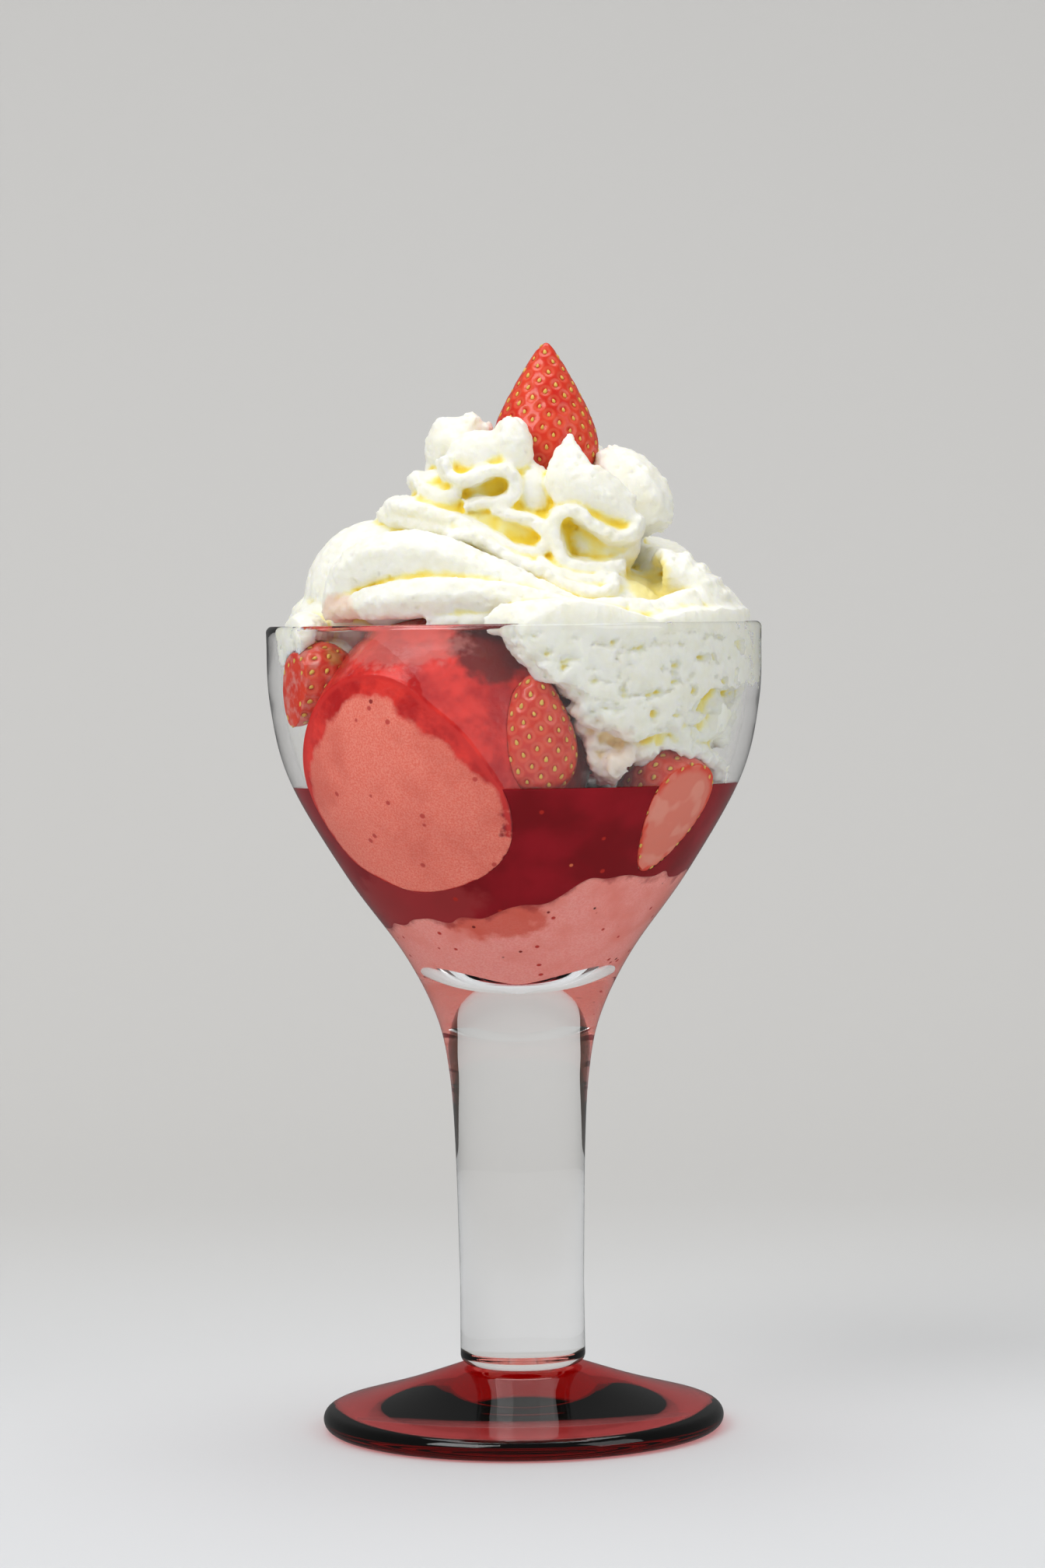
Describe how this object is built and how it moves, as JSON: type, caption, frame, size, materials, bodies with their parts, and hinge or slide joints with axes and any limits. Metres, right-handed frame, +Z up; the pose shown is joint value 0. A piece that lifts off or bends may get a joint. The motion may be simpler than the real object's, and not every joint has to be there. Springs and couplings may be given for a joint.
{
  "type": "strawberry sundae in a goblet",
  "caption": "Ice cream sundae in a clear goblet with a solid stem and a red glass foot: pink ice cream, red sauce, strawberries and a heap of piped cream.",
  "frame": {"origin": "centre of the foot's underside, on the surface that the glass stands on, on the axis of the goblet", "axes": "+Z up along the stem, -Y towards the served side, where the scoop is pressed against the bowl, +X to its right"},
  "size_m": [0.1018, 0.1018, 0.2234],
  "materials": {
    "clear_glass": "smooth, clear soda-lime glass",
    "ruby_glass": "smooth, deep red glass",
    "ice_cream": "frosty, fine-grained pink ice cream",
    "sauce": "wet, deep red sauce",
    "strawberry": "wet strawberry skin with seeds",
    "whipped_cream": "soft satin whipped cream"
  },
  "bodies": {
    "root": {"goblet": "clear_glass", "foot": "ruby_glass", "ice_cream_bed": "ice_cream", "ice_cream_scoop": "ice_cream", "sauce": "sauce", "whipped_cream": "whipped_cream", "strawberry_top": "strawberry", "strawberry_front": "strawberry", "strawberry_right": "strawberry", "strawberry_left": "strawberry"}
  },
  "joints": []
}
